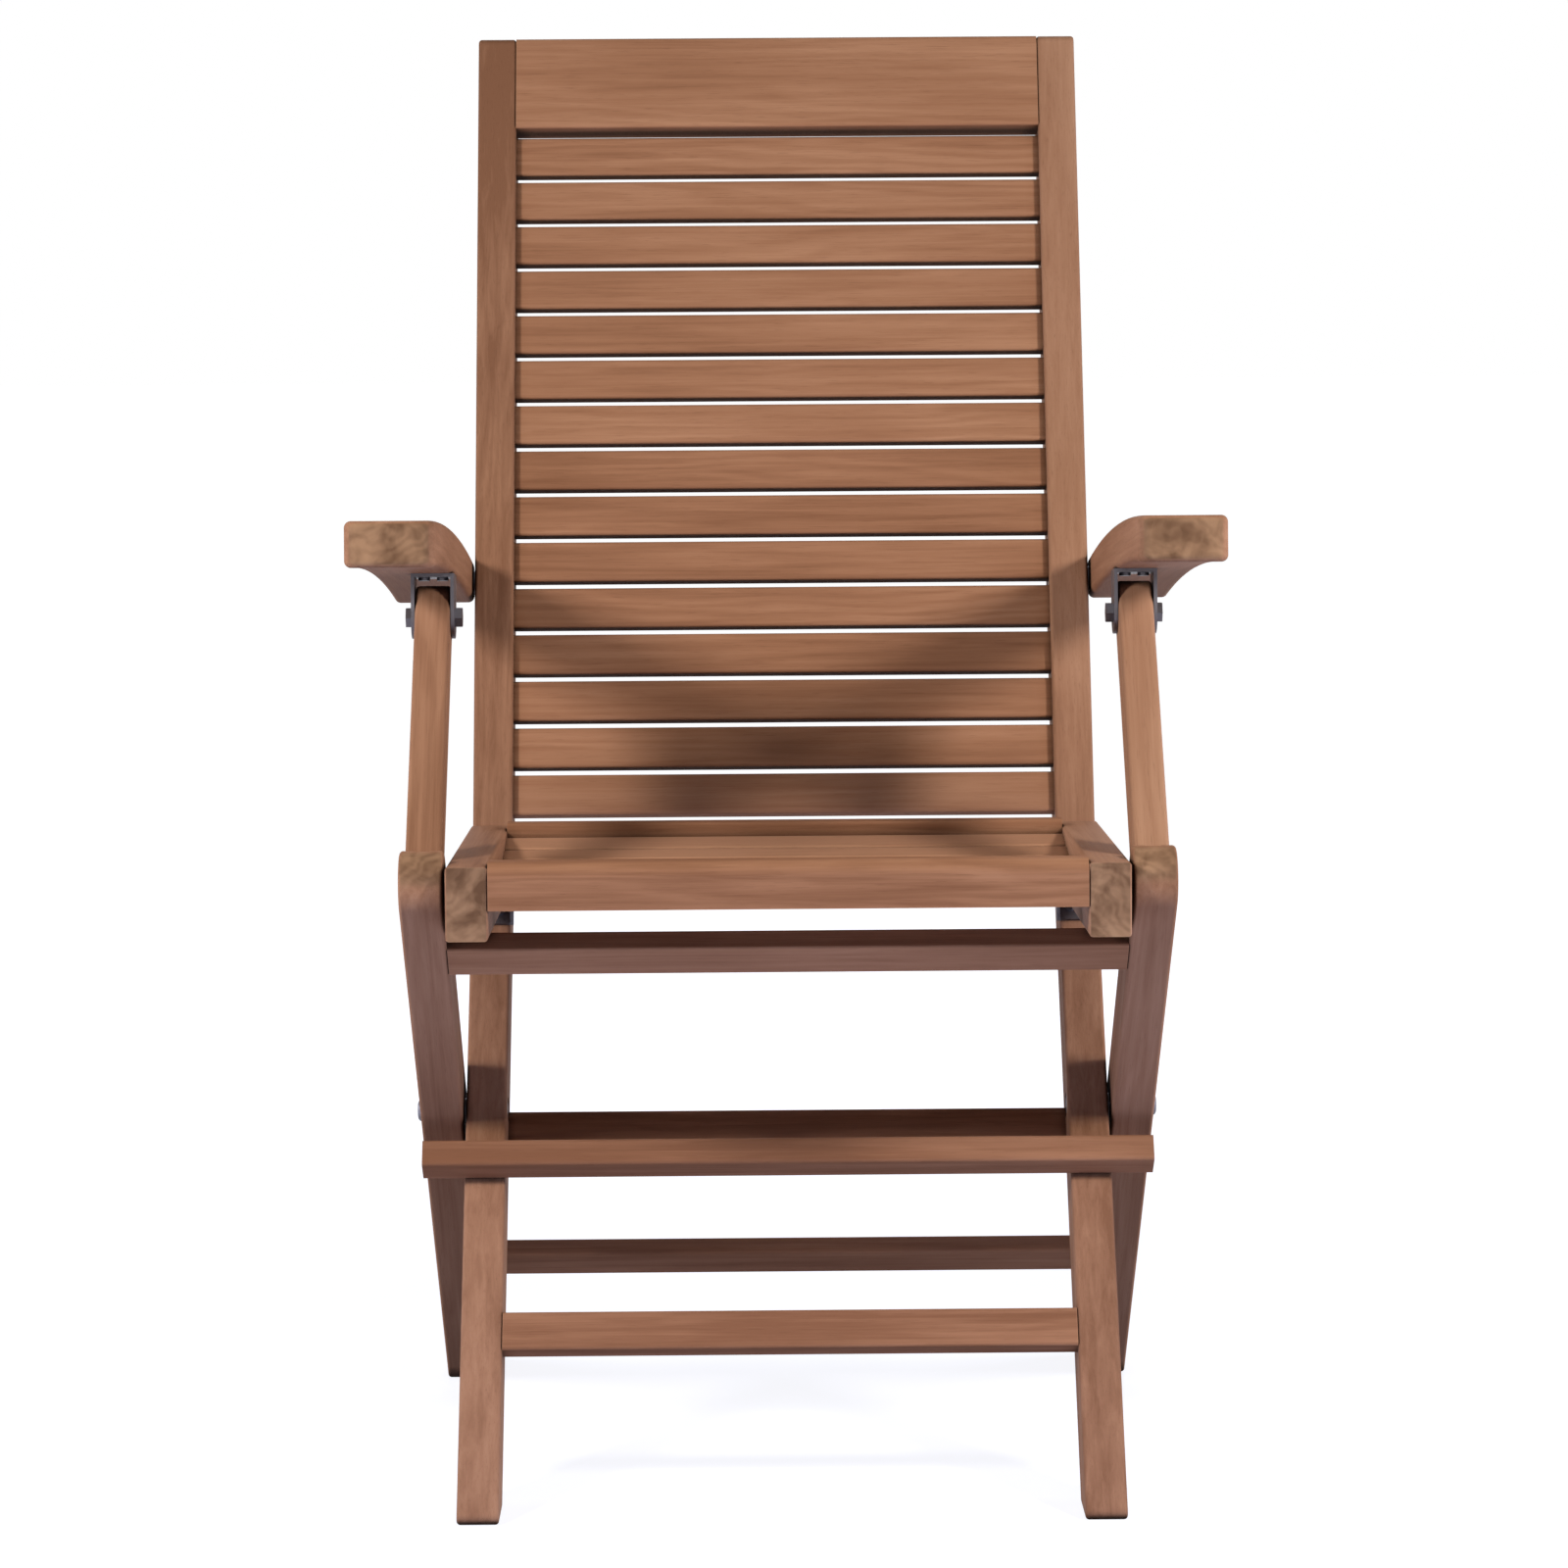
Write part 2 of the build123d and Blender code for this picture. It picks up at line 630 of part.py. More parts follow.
def hexagon_bolt(place, x_head, x_end):
    """A bolt along X: its hexagon head bears on x_head and its shank ends inward, at x_end."""
    with BuildPart() as piece:
        with BuildSketch(Plane.YZ.offset(x_head)):
            with Locations(place):
                Circle(bolt_radius)
        extrude(amount=x_end - x_head)
        with BuildSketch(Plane.YZ.offset(x_head)):
            with Locations(place):
                RegularPolygon(nut_across_flats / 2, 6, major_radius=False)
        extrude(amount=hexagon_head_height)
    return piece


def nut(place, x):
    """A hexagon nut along X from x, towards the middle of the chair."""
    with BuildPart() as piece:
        with BuildSketch(Plane.YZ.offset(x)):
            with Locations(place):
                RegularPolygon(nut_across_flats / 2, 6, major_radius=False)
                Circle(bolt_radius + bolt_clearance, mode=Mode.SUBTRACT)
        extrude(amount=-nut_height)
    return piece


def washer(place, x, thickness):
    with BuildPart() as piece:
        with BuildSketch(Plane.YZ.offset(x)):
            with Locations(place):
                Circle(washer_radius)
                Circle(bolt_radius + bolt_clearance, mode=Mode.SUBTRACT)
        extrude(amount=thickness)
    return piece


def group(pieces):
    """Like fasteners as separate solids in one node, with their mirror images."""
    with BuildPart() as piece_group:
        for piece in pieces:
            add(piece.part)
            mirror(piece.part, about=Plane.YZ)
    return piece_group


def screw(plane, toward):
    """A round-headed screw: its head stands off the plane and its shank goes the other way."""
    with BuildPart() as piece:
        with BuildSketch(plane) as shank:
            Circle(screw_radius)
        extrude(shank.sketch, amount=toward * screw_length)
        with BuildSketch(plane) as head:
            Circle(screw_head_radius)
        extrude(head.sketch, amount=-toward * screw_head_height)
    return piece


def dowel(plane):
    with BuildPart() as piece:
        with BuildSketch(plane) as section:
            Circle(dowel_radius)
        extrude(section.sketch, amount=dowel_depth, both=True)
    return piece


save(group([bolt(leg_pivot, x_leg_out, x_bolt_end)]), "leg_pivot_bolts")
save(group([nut(leg_pivot, x_nut_face)]), "leg_pivot_nuts")
save(
    group([washer(leg_pivot, x_stile_out, leg_gap), washer(leg_pivot, x_nut_face, washer_thickness)]),
    "leg_pivot_washers",
)
save(group([bolt(arm_pivot, x_arm_head, x_bolt_end)]), "arm_pivot_bolts")
save(group([nut(arm_pivot, x_nut_face)]), "arm_pivot_nuts")
save(
    group([washer(arm_pivot, x_stile_out, leg_gap), washer(arm_pivot, x_nut_face, washer_thickness)]),
    "arm_pivot_washers",
)
save(group([bolt(seat_pivot, x_ear_in, x_stile_out - pin_end_wall - head_clearance)]), "seat_pivot_pins")
save(group([screw(place, -1) for place in bracket_screw_planes]), "seat_bracket_screws")
save(group([dowel(place) for place in dowel_planes]), "brace_dowels")

x_clevis_out = x_clevis_in + clevis_span
clevis_bolt = hexagon_bolt(clevis_pivot, x_clevis_out, x_clevis_in - nut_height)
clevis_nut = nut(clevis_pivot, x_clevis_in)
with BuildPart() as clevis_screws:
    for place in clevis_screw_planes:
        add(screw(place, 1).part)
save_pair(clevis_bolt, "clevis_bolt")
save_pair(clevis_nut, "clevis_nut")
save_pair(clevis_screws, "clevis_screws")
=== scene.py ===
"""Folding teak armchair: oiled teak members with dull plated steel fittings, on a pale floor."""
import math

import bpy
from mathutils import Matrix, Vector

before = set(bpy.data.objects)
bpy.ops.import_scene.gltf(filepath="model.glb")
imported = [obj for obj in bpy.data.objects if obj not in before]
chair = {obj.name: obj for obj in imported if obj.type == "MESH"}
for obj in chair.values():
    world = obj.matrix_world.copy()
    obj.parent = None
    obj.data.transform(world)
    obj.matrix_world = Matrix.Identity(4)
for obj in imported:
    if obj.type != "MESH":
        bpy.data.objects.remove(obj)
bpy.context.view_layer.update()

# Leans of the members' grain from upright, in degrees, as the chair stands
STILE_GRAIN_LEAN = 27.0       # one straight board through the bend
REAR_LEG_LEAN = -48.5
SEAT_RAIL_LEAN = 91.6
ARM_LEAN = 96.6
STRUT_LEAN = 41.5

# Colours of the oiled teak, linear
TEAK_DARK = (0.215, 0.095, 0.051, 1)
TEAK_MID = (0.335, 0.162, 0.092, 1)
TEAK_PALE = (0.430, 0.224, 0.134, 1)
END_GRAIN_DARK = (0.130, 0.064, 0.035, 1)
END_GRAIN_PALE = (0.370, 0.205, 0.116, 1)
PORE_BROWN = (0.120, 0.052, 0.028, 1)
# Painted shade: a near-black brown laid into joints and the gaps between slats, where shade falls
CREVICE_SHADE_BROWN = (0.020, 0.010, 0.006, 1)
LONG_BOARD_TINT = (1.0, 1.055, 1.12, 1)     # the long members are a little greyer than the slats
NO_TINT = (1.0, 1.0, 1.0, 1)
TONE_STOPS = ((0.06, TEAK_DARK), (0.50, TEAK_MID), (0.94, TEAK_PALE))

# Layers of the teak: noises stretched along the grain, across it and through it
RING_BEND = {"stretch": (0.8, 7.0, 7.0), "scale": 3.0, "detail": 3.0, "roughness": 0.55}
BLOTCHES = {"stretch": (1.3, 7.0, 7.0), "scale": 3.0, "detail": 3.0, "roughness": 0.5}
STREAKS = {"stretch": (1.0, 34.0, 34.0), "scale": 5.0, "detail": 5.0, "roughness": 0.60, "distortion": 0.6}
FINE_LINES = {"stretch": (3.0, 170.0, 170.0), "scale": 5.0, "detail": 3.0, "roughness": 0.55}
PORES = {"stretch": (14.0, 420.0, 420.0), "scale": 4.0, "detail": 2.0, "roughness": 0.5}
END_MOTTLE = {
    "stretch": (60.0, 60.0, 60.0), "scale": 0.8, "detail": 3.0, "roughness": 0.55, "distortion": 0.5,
}

# How far each layer moves the tone, and the values between which it sets in
RING_REACH = 0.085            # metres that slow noise can bend the rings
RING_WAVES = 620.0            # radians per metre from the pith
RING_FADE_RANGE = (0.36, 0.62)
RING_FADE_LEAST = 0.15
STREAK_SHARE = 0.85
FINE_SHARE = 0.22
BLOTCH_SHARE = 1.10
PORE_RANGE = (0.60, 0.70)
PORE_SHARE = 0.22
PORE_DEPTH = 0.8              # against the height of the fine lines
END_FACE_RANGE = (0.70, 0.92)       # how much of the normal lies along the grain
END_PATCH_RANGE = (0.22, 0.74)
END_PATCH_SHARE = 0.82
END_RING_SHARE = 0.18

# Sheen of the teak
WOOD_ROUGHNESS = 0.52
STREAK_ROUGHNESS = 0.16
END_ROUGHNESS = 0.18
WORN_ROUGHNESS = 0.15
WOOD_SPECULAR = 0.02          # nearly matt
WOOD_BUMP = (0.22, 0.0006)    # strength, and height in metres

# Worn edges, and painted shade in joints and gaps
RAY_SAMPLES = 4
EDGE_RANGE = (0.99, 0.86)     # cosine between the true normal and the rounded one
EDGE_WIDTH = 0.0016
EDGE_AMOUNT = 0.30
CREVICE_SHADE_REACH = 0.012           # metres within which another face shuts in this one
CREVICE_SHADE_RANGE = (0.25, 0.85)    # how open a face is, from full painted shade to none
CREVICE_SHADE_SHARE = 0.92

# Plated steel
PLATE_GREY = (0.140, 0.130, 0.145, 1)
PLATE_STAIN = (0.055, 0.048, 0.052, 1)
PLATE_CLOUDS = {"stretch": (1.0, 1.0, 1.0), "scale": 160.0, "detail": 4.0, "roughness": 0.6}
PLATE_BRUSHING = {"stretch": (1.0, 1.0, 14.0), "scale": 420.0, "detail": 2.0, "roughness": 0.5}
STAIN_RANGE = (0.56, 0.72)
STAIN_SHARE = 0.6
PLATE_ROUGHNESS = 0.32
BRUSHING_ROUGHNESS = 0.24
PLATE_BUMP = (0.15, 0.0003)   # strength, and height in metres

# Each board's place in the log: its least value, its spread and its step of the scatter, on three axes
LOG_RANGES = ((0.0, 3.0, 1), (0.05, 0.12, 3), (0.03, 0.10, 7))

# Tones of the boards: about 0, paler above it. Boards that aren't named are scattered.
BOARD_TONES = {
    "stile_left": -0.18, "stile_right": 0.00, "strut_left": -0.10, "strut_right": 0.24, "top_rail": 0.05,
    "seat_front_rail": -0.20, "front_stretcher": -0.28, "seat_rail_left": -0.10, "front_brace": -0.22,
}
TONE_SPREAD = 0.26
TONE_STEP = 5
SEAT_SLAT_LIGHT_LIFT = 0.40         # painted light: the seat slats are drawn paler so their tops look as brightly lit as the rest
TONE_DRIFTS = {"stile_left": -0.40, "stile_right": 0.60}     # per metre up the board
STILE_MIDDLE = 0.50           # metres up the stile, where its tone is the one given
END_TONES = {"seat_rail_left": -0.25, "seat_rail_right": -0.04}      # darker end grain
FIGURE_LEAST = 0.06           # share of the growth rings in the tone
FIGURE_SPREAD = 0.16
FIGURE_STEP = 11
GOLDEN_PART = 0.618034
STEEL_WORDS = ("bolt", "nut", "washer", "screw", "bracket", "clevis", "pins")

# Camera, fitted to the photograph on a 1600 by 1600 frame. Angles in degrees.
CAMERA_PLACE = Vector((-0.0275, -3.6822, 0.8678))
CAMERA_YAW = 0.424
CAMERA_PITCH = 5.999
CAMERA_ROLL = -0.400
FOCAL_PIXELS = 5193.9
FRAME_PIXELS = 1600
SENSOR_WIDTH = 36.0
CLIP_END = 200.0

# Floor and sky. The glow is what the camera, mirrors and glass see of the floor.
FLOOR_HALF = 30.0
FLOOR_COLOUR = (0.26, 0.27, 0.34, 1)
NEAR_GLOW = 0.82
GLOW_RANGE = (0.7, 1.8)       # metres from the middle, from the near glow to white
WHITE = (1, 1, 1, 1)
SKY_COLOUR = (0.80, 0.85, 1.0, 1)
SKY_LEVEL = 0.04

# Studio lights: place and aim, width in metres, power in watts, colour
WARM_LIGHT = (1.0, 0.965, 0.905)
COOL_LIGHT = (0.84, 0.88, 1.0)
BOUNCE_LIGHT = (0.60, 0.69, 1.0)
SIDE_LIGHTS = {               # on the right, and mirrored on the left
    "light": ((1.14, -1.10, 1.24), (0.0, 0.0, 0.55), 0.26, 19.5, WARM_LIGHT),
    "fill": ((2.2, 0.15, 0.75), (0.0, 0.15, 0.60), 0.80, 19.0, COOL_LIGHT),
    "bounce": ((0.75, -0.40, 0.03), (0.2, -0.1, 0.60), 0.45, 2.8, BOUNCE_LIGHT),
}
MIDDLE_LIGHTS = {
    "floor_bounce": ((0.0, -0.58, 0.03), (0.0, 0.05, 0.40), 0.45, 2.4, BOUNCE_LIGHT),
    "back_light": ((0.0, 2.4, 1.9), (0.0, 0.2, 0.5), 1.6, 34.0, COOL_LIGHT),
}


def new_group(name, inputs, outputs):
    """An empty shader node group with its named sockets, and its two end nodes."""
    group = bpy.data.node_groups.new(name, "ShaderNodeTree")
    for socket_name, socket_type, value in inputs:
        socket = group.interface.new_socket(socket_name, in_out="INPUT", socket_type=socket_type)
        if value is not None:
            socket.default_value = value
    for socket_name, socket_type in outputs:
        group.interface.new_socket(socket_name, in_out="OUTPUT", socket_type=socket_type)
    return group, group.nodes.new("NodeGroupInput"), group.nodes.new("NodeGroupOutput")


def math_node(tree, operation, first, second=None, third=None, clamp=False):
    """A Math node. Each operand is a socket or a number."""
    node = tree.nodes.new("ShaderNodeMath")
    node.operation = operation
    node.use_clamp = clamp
    for slot, operand in enumerate((first, second, third)):
        if operand is None:
            continue
        if isinstance(operand, (int, float)):
            node.inputs[slot].default_value = operand
        else:
            tree.links.new(operand, node.inputs[slot])
    return node.outputs[0]


def remap(tree, value, low, high, to_low=0.0, to_high=1.0):
    """A smooth step from one range of values to another."""
    node = tree.nodes.new("ShaderNodeMapRange")
    node.interpolation_type = "SMOOTHSTEP"
    tree.links.new(value, node.inputs["Value"])
    for name, number in (("From Min", low), ("From Max", high), ("To Min", to_low), ("To Max", to_high)):
        node.inputs[name].default_value = number
    return node.outputs["Result"]


def stretched_noise(tree, place, stretch, scale, detail, roughness, distortion=0.0):
    """Noise on a place that is first stretched along its three axes."""
    shape = tree.nodes.new("ShaderNodeVectorMath")
    shape.operation = "MULTIPLY"
    shape.inputs[1].default_value = stretch
    tree.links.new(place, shape.inputs[0])
    noise = tree.nodes.new("ShaderNodeTexNoise")
    noise.inputs["Scale"].default_value = scale
    noise.inputs["Detail"].default_value = detail
    noise.inputs["Roughness"].default_value = roughness
    noise.inputs["Distortion"].default_value = distortion
    tree.links.new(shape.outputs[0], noise.inputs["Vector"])
    return noise.outputs["Fac"]


def blend_colours(tree, share, first, second, mode="MIX"):
    """Two colours mixed by a share. Each is a socket or a colour."""
    node = tree.nodes.new("ShaderNodeMix")
    node.data_type = "RGBA"
    node.blend_type = mode
    for slot, operand in ((node.inputs["Factor"], share), (node.inputs[6], first), (node.inputs[7], second)):
        if isinstance(operand, (tuple, int, float)):
            slot.default_value = operand
        else:
            tree.links.new(operand, slot)
    return node.outputs[2]


def make_member_axes():
    """Turns a place and a normal so that x runs along the member's grain, and moves to a part of the log."""
    group, entry, leave = new_group(
        "member_axes",
        [("Place", "NodeSocketVector", None), ("Normal", "NodeSocketVector", None),
         ("Turn", "NodeSocketVector", None), ("Log Place", "NodeSocketVector", None)],
        [("Grain Place", "NodeSocketVector"), ("End Face", "NodeSocketFloat")],
    )
    turn_place = group.nodes.new("ShaderNodeMapping")
    group.links.new(entry.outputs["Place"], turn_place.inputs["Vector"])
    group.links.new(entry.outputs["Turn"], turn_place.inputs["Rotation"])
    group.links.new(entry.outputs["Log Place"], turn_place.inputs["Location"])
    turn_normal = group.nodes.new("ShaderNodeMapping")
    turn_normal.vector_type = "VECTOR"
    group.links.new(entry.outputs["Normal"], turn_normal.inputs["Vector"])
    group.links.new(entry.outputs["Turn"], turn_normal.inputs["Rotation"])
    parts = group.nodes.new("ShaderNodeSeparateXYZ")
    group.links.new(turn_normal.outputs["Vector"], parts.inputs["Vector"])
    along = math_node(group, "ABSOLUTE", parts.outputs["X"])
    group.links.new(turn_place.outputs["Vector"], leave.inputs["Grain Place"])
    group.links.new(remap(group, along, *END_FACE_RANGE), leave.inputs["End Face"])
    return group


def make_teak_grain():
    """Oiled teak: faint growth rings about a far pith, long streaks, fine pores and broad blotches."""
    group, entry, leave = new_group(
        "teak_grain",
        [("Grain Place", "NodeSocketVector", None), ("End Face", "NodeSocketFloat", 0.0),
         ("Tone", "NodeSocketFloat", 0.0), ("Drift", "NodeSocketFloat", 0.0),
         ("Figure", "NodeSocketFloat", 0.5), ("End Tone", "NodeSocketFloat", 0.0)],
        [("Color", "NodeSocketColor"), ("Roughness", "NodeSocketFloat"), ("Height", "NodeSocketFloat")],
    )
    place = entry.outputs["Grain Place"]
    parts = group.nodes.new("ShaderNodeSeparateXYZ")
    group.links.new(place, parts.inputs["Vector"])

    # Rings: a wave of the distance from the pith line, bent by slow noise and fading in and out
    bend = stretched_noise(group, place, **RING_BEND)
    across = math_node(group, "MULTIPLY", parts.outputs["Y"], parts.outputs["Y"])
    through = math_node(group, "MULTIPLY", parts.outputs["Z"], parts.outputs["Z"])
    radius = math_node(group, "SQRT", math_node(group, "ADD", across, through))
    bent = math_node(group, "MULTIPLY_ADD", bend, RING_REACH, radius)
    wave = math_node(group, "SINE", math_node(group, "MULTIPLY", bent, RING_WAVES))
    rings = remap(group, wave, -1.0, 1.0)
    blotch = stretched_noise(group, place, **BLOTCHES)
    ring_fade = remap(group, blotch, *RING_FADE_RANGE, RING_FADE_LEAST, 1.0)

    streaks = stretched_noise(group, place, **STREAKS)
    fine = stretched_noise(group, place, **FINE_LINES)
    pores = remap(group, stretched_noise(group, place, **PORES), *PORE_RANGE)

    # Tone: the board's own about one half, its drift, and each layer's departure from its middle
    tone = math_node(group, "ADD", entry.outputs["Tone"], 0.5)
    tone = math_node(group, "MULTIPLY_ADD", parts.outputs["X"], entry.outputs["Drift"], tone)
    ring_share = math_node(group, "MULTIPLY", ring_fade, entry.outputs["Figure"])
    layers = ((rings, ring_share), (streaks, STREAK_SHARE), (fine, FINE_SHARE), (blotch, BLOTCH_SHARE))
    for layer, share in layers:
        departure = math_node(group, "SUBTRACT", layer, 0.5)
        tone = math_node(group, "MULTIPLY_ADD", departure, share, tone)

    ramp = group.nodes.new("ShaderNodeValToRGB")
    stops = ramp.color_ramp.elements
    stops.new(0.5)
    for stop, (position, colour) in zip(stops, TONE_STOPS):
        stop.position = position
        stop.color = colour
    group.links.new(tone, ramp.inputs["Fac"])
    pore_share = math_node(group, "MULTIPLY", pores, PORE_SHARE)
    long_face = blend_colours(group, pore_share, ramp.outputs["Color"], PORE_BROWN)

    # End grain: soft brown patches with faint ring arcs
    patches = remap(group, stretched_noise(group, place, **END_MOTTLE), *END_PATCH_RANGE)
    end_tone = math_node(group, "MULTIPLY", patches, END_PATCH_SHARE)
    end_tone = math_node(group, "MULTIPLY_ADD", rings, END_RING_SHARE, end_tone)
    end_tone = math_node(group, "ADD", end_tone, entry.outputs["End Tone"], clamp=True)
    end_face = blend_colours(group, end_tone, END_GRAIN_DARK, END_GRAIN_PALE)
    colour = blend_colours(group, entry.outputs["End Face"], long_face, end_face)

    rough = math_node(group, "MULTIPLY_ADD", streaks, STREAK_ROUGHNESS, WOOD_ROUGHNESS)
    rough = math_node(group, "MULTIPLY_ADD", entry.outputs["End Face"], END_ROUGHNESS, rough)
    height = math_node(group, "SUBTRACT", fine, math_node(group, "MULTIPLY", pores, PORE_DEPTH))
    group.links.new(colour, leave.inputs["Color"])
    group.links.new(rough, leave.inputs["Roughness"])
    group.links.new(height, leave.inputs["Height"])
    return group


def make_rubbed_edges():
    """Paler, drier wood along worn edges: how far a rounded normal leans from the true one."""
    group, entry, leave = new_group(
        "rubbed_edges",
        [("Color", "NodeSocketColor", None), ("Roughness", "NodeSocketFloat", 0.5),
         ("Width", "NodeSocketFloat", 0.002), ("Amount", "NodeSocketFloat", 0.3)],
        [("Color", "NodeSocketColor"), ("Roughness", "NodeSocketFloat")],
    )
    bevel = group.nodes.new("ShaderNodeBevel")
    bevel.samples = RAY_SAMPLES
    group.links.new(entry.outputs["Width"], bevel.inputs["Radius"])
    geometry = group.nodes.new("ShaderNodeNewGeometry")
    meeting = group.nodes.new("ShaderNodeVectorMath")
    meeting.operation = "DOT_PRODUCT"
    group.links.new(bevel.outputs["Normal"], meeting.inputs[0])
    group.links.new(geometry.outputs["Normal"], meeting.inputs[1])
    edge = remap(group, meeting.outputs["Value"], *EDGE_RANGE)
    worn = math_node(group, "MULTIPLY", edge, entry.outputs["Amount"])
    paler = blend_colours(group, worn, entry.outputs["Color"], TEAK_PALE)
    group.links.new(paler, leave.inputs["Color"])
    drier = math_node(group, "MULTIPLY_ADD", worn, WORN_ROUGHNESS, entry.outputs["Roughness"])
    group.links.new(drier, leave.inputs["Roughness"])
    return group


member_axes = make_member_axes()
teak_grain = make_teak_grain()
rubbed_edges = make_rubbed_edges()


def place_group(tree, group, values):
    """A node group in a material, with its own values."""
    node = tree.nodes.new("ShaderNodeGroup")
    node.node_tree = group
    for name, value in values.items():
        if isinstance(value, bpy.types.NodeSocket):
            tree.links.new(value, node.inputs[name])
        else:
            node.inputs[name].default_value = value
    return node


def new_surface(name):
    """A new material, its node tree and its Principled shader."""
    material = bpy.data.materials.new(name)
    material.use_nodes = True
    return material, material.node_tree, material.node_tree.nodes["Principled BSDF"]


def dress(tree, shader, colour, rough, height, bump_size):
    """Joins a colour, a roughness and a bumped height to the shader."""
    bump = tree.nodes.new("ShaderNodeBump")
    bump.inputs["Strength"].default_value, bump.inputs["Distance"].default_value = bump_size
    tree.links.new(height, bump.inputs["Height"])
    tree.links.new(colour, shader.inputs["Base Color"])
    tree.links.new(rough, shader.inputs["Roughness"])
    tree.links.new(bump.outputs["Normal"], shader.inputs["Normal"])


def teak(name, turn, log_place, tint, look):
    """Oiled teak for one member: the grain runs along it, and it comes from its own part of the log."""
    material, tree, shader = new_surface(name)
    places = tree.nodes.new("ShaderNodeTexCoord")
    axes = place_group(tree, member_axes, {
        "Place": places.outputs["Object"], "Normal": places.outputs["Normal"],
        "Turn": turn, "Log Place": log_place,
    })
    grain = place_group(tree, teak_grain, {
        "Grain Place": axes.outputs["Grain Place"], "End Face": axes.outputs["End Face"], **look,
    })
    worn = place_group(tree, rubbed_edges, {
        "Color": grain.outputs["Color"], "Roughness": grain.outputs["Roughness"],
        "Width": EDGE_WIDTH, "Amount": EDGE_AMOUNT,
    })
    tinted = blend_colours(tree, 1.0, worn.outputs["Color"], tint, "MULTIPLY")
    # Painted shade: the colour darkens towards near-black brown where other faces close in, in joints and
    # the gaps between slats
    crevice = tree.nodes.new("ShaderNodeAmbientOcclusion")
    crevice.samples = RAY_SAMPLES
    crevice.inputs["Distance"].default_value = CREVICE_SHADE_REACH
    crevice_shade = remap(tree, crevice.outputs["AO"], *CREVICE_SHADE_RANGE, CREVICE_SHADE_SHARE, 0.0)
    colour = blend_colours(tree, crevice_shade, tinted, CREVICE_SHADE_BROWN)
    dress(tree, shader, colour, worn.outputs["Roughness"], grain.outputs["Height"], WOOD_BUMP)
    shader.inputs["Specular IOR Level"].default_value = WOOD_SPECULAR
    return material


def plated_steel():
    """Dull zinc-plated steel: a cloudy plate with fine brushing and small dark stains."""
    material, tree, shader = new_surface("plated_steel")
    places = tree.nodes.new("ShaderNodeTexCoord")
    clouds = stretched_noise(tree, places.outputs["Object"], **PLATE_CLOUDS)
    brushing = stretched_noise(tree, places.outputs["Object"], **PLATE_BRUSHING)
    stain_share = math_node(tree, "MULTIPLY", remap(tree, clouds, *STAIN_RANGE), STAIN_SHARE)
    colour = blend_colours(tree, stain_share, PLATE_GREY, PLATE_STAIN)
    rough = math_node(tree, "MULTIPLY_ADD", brushing, BRUSHING_ROUGHNESS, PLATE_ROUGHNESS)
    dress(tree, shader, colour, rough, brushing, PLATE_BUMP)
    shader.inputs["Metallic"].default_value = 1.0
    return material


def wear(node_name, material):
    """Gives a CAD node one material."""
    mesh = chair[node_name].data
    mesh.materials.clear()
    mesh.materials.append(material)


def leaning(lean):
    """Turn that brings a member's own direction, lean degrees from upright, to x."""
    return (math.radians(lean), math.pi / 2, 0.0)


def spread(count, step):
    """A repeatable scatter from 0 to 1: the fractional part of a multiple of the golden ratio."""
    return (count * step * GOLDEN_PART) % 1.0


# The grain of every other board runs across the chair
ACROSS = (0.0, 0.0, 0.0)
GRAIN_TURNS = {
    "stile": leaning(STILE_GRAIN_LEAN),
    "rear_leg": leaning(REAR_LEG_LEAN),
    "seat_rail": leaning(SEAT_RAIL_LEAN),
    "arm": leaning(ARM_LEAN),
    "strut": leaning(STRUT_LEAN),
}

steel = plated_steel()
for count, node_name in enumerate(sorted(chair)):
    if any(word in node_name for word in STEEL_WORDS):
        wear(node_name, steel)
        continue
    member = node_name.removesuffix("_left").removesuffix("_right")
    turn = GRAIN_TURNS.get(member, ACROSS)
    tint = LONG_BOARD_TINT if member in GRAIN_TURNS else NO_TINT
    log_place = tuple(least + reach * spread(count, step) for least, reach, step in LOG_RANGES)
    # Painted light: the seat slats get a paler tone for the light on their tops
    seat_light_lift = SEAT_SLAT_LIGHT_LIFT if node_name.startswith("seat_slat") else 0.0
    tone = BOARD_TONES.get(node_name, seat_light_lift + TONE_SPREAD * (spread(count, TONE_STEP) - 0.5))
    drift = TONE_DRIFTS.get(node_name, 0.0)
    look = {
        "Tone": tone - drift * (log_place[0] + STILE_MIDDLE),
        "Drift": drift,
        "Figure": FIGURE_LEAST + FIGURE_SPREAD * spread(count, FIGURE_STEP),
        "End Tone": END_TONES.get(node_name, 0.0),
    }
    wear(node_name, teak(f"teak_{node_name}", turn, log_place, tint, look))


def seen_rays(tree):
    """1 for rays of the camera, of mirrors and of glass, and 0 for the light that falls on things."""
    rays = tree.nodes.new("ShaderNodeLightPath")
    seen = math_node(tree, "MAXIMUM", rays.outputs["Is Camera Ray"], rays.outputs["Is Glossy Ray"])
    return math_node(tree, "MAXIMUM", seen, rays.outputs["Is Transmission Ray"])


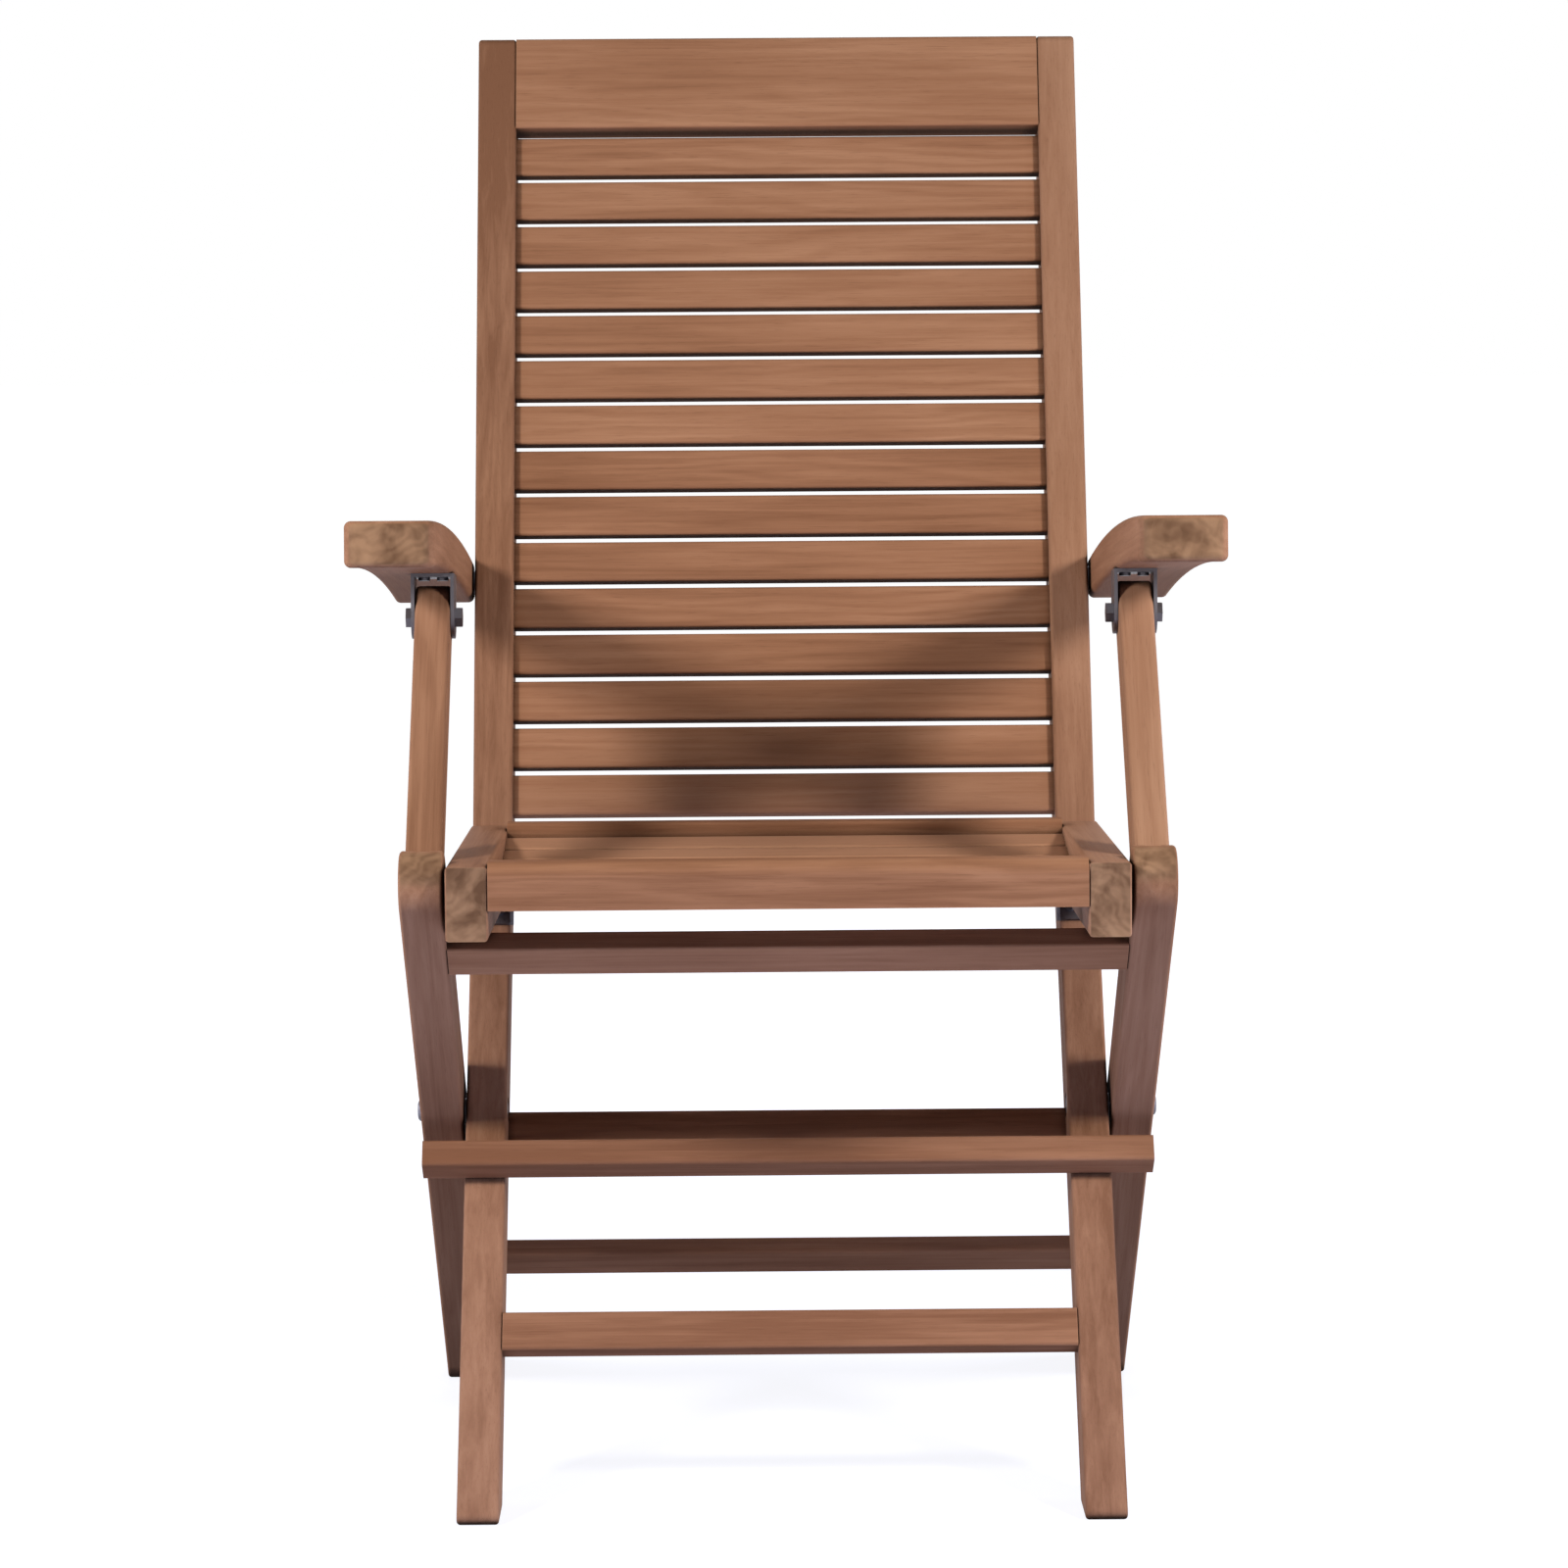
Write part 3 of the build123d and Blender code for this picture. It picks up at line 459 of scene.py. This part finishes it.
def make_floor():
    """A wide pale floor. The camera and mirrors see it white, less so where the chair's shadow falls."""
    mesh = bpy.data.meshes.new("floor")
    corners = [(x * FLOOR_HALF, y * FLOOR_HALF, 0) for x, y in ((-1, -1), (1, -1), (1, 1), (-1, 1))]
    mesh.from_pydata(corners, [], [(0, 1, 2, 3)])
    floor = bpy.data.objects.new("floor", mesh)
    bpy.context.scene.collection.objects.link(floor)
    material = bpy.data.materials.new("pale_floor")
    material.use_nodes = True
    tree = material.node_tree
    tree.nodes.clear()
    output = tree.nodes.new("ShaderNodeOutputMaterial")
    matt = tree.nodes.new("ShaderNodeBsdfDiffuse")
    matt.inputs["Color"].default_value = FLOOR_COLOUR
    glow = tree.nodes.new("ShaderNodeEmission")
    places = tree.nodes.new("ShaderNodeTexCoord")
    away = tree.nodes.new("ShaderNodeVectorMath")
    away.operation = "LENGTH"
    tree.links.new(places.outputs["Object"], away.inputs[0])
    level = remap(tree, away.outputs["Value"], *GLOW_RANGE, NEAR_GLOW, 1.0)
    tree.links.new(math_node(tree, "MULTIPLY", seen_rays(tree), level), glow.inputs["Strength"])
    both = tree.nodes.new("ShaderNodeAddShader")
    tree.links.new(matt.outputs[0], both.inputs[0])
    tree.links.new(glow.outputs[0], both.inputs[1])
    tree.links.new(both.outputs[0], output.inputs["Surface"])
    mesh.materials.append(material)


def make_world():
    """White to the camera and to mirrors, and a soft cool sky for the light."""
    world = bpy.data.worlds.new("studio")
    bpy.context.scene.world = world
    world.use_nodes = True
    tree = world.node_tree
    tree.nodes.clear()
    output = tree.nodes.new("ShaderNodeOutputWorld")
    white = tree.nodes.new("ShaderNodeBackground")
    white.inputs["Color"].default_value = WHITE
    sky = tree.nodes.new("ShaderNodeBackground")
    sky.inputs["Color"].default_value = SKY_COLOUR
    sky.inputs["Strength"].default_value = SKY_LEVEL
    chosen = tree.nodes.new("ShaderNodeMixShader")
    tree.links.new(seen_rays(tree), chosen.inputs[0])
    tree.links.new(sky.outputs[0], chosen.inputs[1])
    tree.links.new(white.outputs[0], chosen.inputs[2])
    tree.links.new(chosen.outputs[0], output.inputs["Surface"])


def soft_box(name, place, aim, size, power, colour):
    """A square studio light at a place, turned towards its aim."""
    light = bpy.data.lights.new(name, "AREA")
    light.shape = "SQUARE"
    light.size = size
    light.energy = power
    light.color = colour
    lamp = bpy.data.objects.new(name, light)
    lamp.visible_camera = False
    lamp.location = place
    lamp.rotation_mode = "QUATERNION"
    lamp.rotation_quaternion = (Vector(aim) - Vector(place)).to_track_quat("-Z", "Y")
    bpy.context.scene.collection.objects.link(lamp)


def on_side(place, side):
    """A place on the right as it is, or its mirror image on the left: x times the side's sign."""
    return (place[0] * side, place[1], place[2])


def make_lights():
    """The side lights on both sides, then the lights in the middle."""
    for hand, side in (("right", 1), ("left", -1)):
        for kind, (place, aim, size, power, colour) in SIDE_LIGHTS.items():
            soft_box(f"{hand}_{kind}", on_side(place, side), on_side(aim, side), size, power, colour)
    for name, values in MIDDLE_LIGHTS.items():
        soft_box(name, *values)


def make_camera():
    """The photograph's camera: turned by yaw, tipped by pitch, then rolled about its own line of sight."""
    yaw, pitch, roll = (math.radians(a) for a in (CAMERA_YAW, CAMERA_PITCH, CAMERA_ROLL))
    ahead = Vector((math.sin(yaw) * math.cos(pitch), math.cos(yaw) * math.cos(pitch), -math.sin(pitch)))
    level = Vector((math.cos(yaw), -math.sin(yaw), 0.0))
    above = level.cross(ahead)
    right = math.cos(roll) * level + math.sin(roll) * above
    up = math.cos(roll) * above - math.sin(roll) * level
    lens = bpy.data.cameras.new("camera")
    lens.sensor_width = SENSOR_WIDTH
    lens.lens = FOCAL_PIXELS / FRAME_PIXELS * SENSOR_WIDTH
    lens.clip_end = CLIP_END
    camera = bpy.data.objects.new("camera", lens)
    turn = Matrix((right, up, -ahead)).transposed()
    camera.matrix_world = Matrix.Translation(CAMERA_PLACE) @ turn.to_4x4()
    bpy.context.scene.collection.objects.link(camera)
    bpy.context.scene.camera = camera


make_floor()
make_world()
make_lights()
make_camera()
bpy.context.scene.view_settings.view_transform = "Standard"
